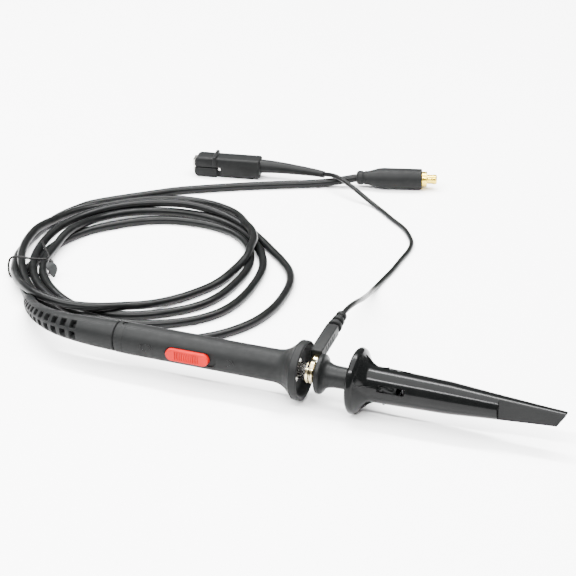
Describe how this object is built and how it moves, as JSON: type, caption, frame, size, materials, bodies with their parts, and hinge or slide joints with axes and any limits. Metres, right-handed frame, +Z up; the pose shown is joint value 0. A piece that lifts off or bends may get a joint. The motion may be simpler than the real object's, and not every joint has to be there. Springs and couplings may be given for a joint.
{
  "type": "passive oscilloscope probe",
  "caption": "Passive oscilloscope probe with attenuation slider, finger guard, sprung hook tip, clip-on ground lead, and a coiled coaxial cable ending in a push-on plug.",
  "frame": {"origin": "on the table under the middle of the rigid probe, cords, coil, plug and clip left out", "axes": "+X runs along the probe towards the hook tip, +Y towards the coiled cable, +Z up"},
  "size_m": [0.2312, 0.1916, 0.0224],
  "materials": {
    "black_grip": "fine matt moulded",
    "black_rubber": "matt moulded",
    "black_cable": "semi-matt extruded",
    "gloss_black": "glossy moulded",
    "red_plastic": "satin moulded",
    "white_plastic": "smooth",
    "green_board": "solder mask",
    "tan_ceramic": "matt",
    "nickel": "bright nickel plate",
    "spring_steel": "drawn wire",
    "brass": "machined",
    "copper": "drawn copper wire",
    "gold_plate": "bright gold plate"
  },
  "bodies": {
    "probe": {"grip_shell": "black_grip", "rear_collar": "black_rubber", "strain_relief_boot": "black_rubber", "switch_contacts": "brass", "circuit_board": "green_board", "divider_resistor": "tan_ceramic", "shunt_capacitor": "tan_ceramic", "trimmer_body": "white_plastic", "ground_barrel": "nickel", "nose_insulator": "white_plastic", "probe_needle": "nickel", "crimp_ferrule": "brass", "signal_wire": "copper", "ground_ring_clip": "gold_plate", "ground_lead_boot": "black_rubber", "ground_lead": "black_cable", "coax_start": "black_cable", "coax_coil": "black_cable", "coax_tail": "black_cable", "coil_tie": "black_cable", "plug_overmould": "black_rubber", "plug_body": "gold_plate", "plug_insulator": "white_plastic", "plug_pin": "gold_plate", "clip_cover_upper": "black_rubber", "clip_jaw_upper": "nickel", "clip_pivot_pin": "spring_steel", "clip_spring": "spring_steel"},
    "switch": {"attenuator_slider": "red_plastic", "slider_carrier": "white_plastic"},
    "hook": {"hook_inner_barrel": "black_rubber", "hook_socket": "brass", "hook_wire": "nickel", "hook_spring": "spring_steel"},
    "sleeve": {"hook_sleeve": "gloss_black"},
    "clip_lever": {"clip_cover_lower": "black_rubber", "clip_jaw_lower": "nickel"},
    "trimmer": {"trimmer_rotor": "brass"}
  },
  "joints": [
    {"name": "switch_slide", "type": "slide", "parent": "probe", "child": "switch", "axis": [1, 0, 0], "range_m": [0, 0.0024]},
    {"name": "hook_pull", "type": "slide", "parent": "probe", "child": "hook", "axis": [1, 0, 0], "range_m": [0, 0.03]},
    {"name": "sleeve_retract", "type": "slide", "parent": "hook", "child": "sleeve", "axis": [-1, 0, 0], "range_m": [0, 0.007], "stiffness_N_per_m": 200, "springref_m": -0.01, "deforming": ["hook_spring"]},
    {"name": "clip_open", "type": "hinge", "parent": "probe", "child": "clip_lever", "pos_m": [-0.07873, 0.15165, 0.0042], "axis": [0.1822, -0.9833, 0], "range_deg": [0, 18], "stiffness_Nm_per_rad": 0.05, "springref_deg": -17.19},
    {"name": "trimmer_turn", "type": "hinge", "parent": "probe", "child": "trimmer", "pos_m": [-0.00953, -0.0063, 0.0112], "axis": [0, 1, 0], "continuous": true}
  ]
}
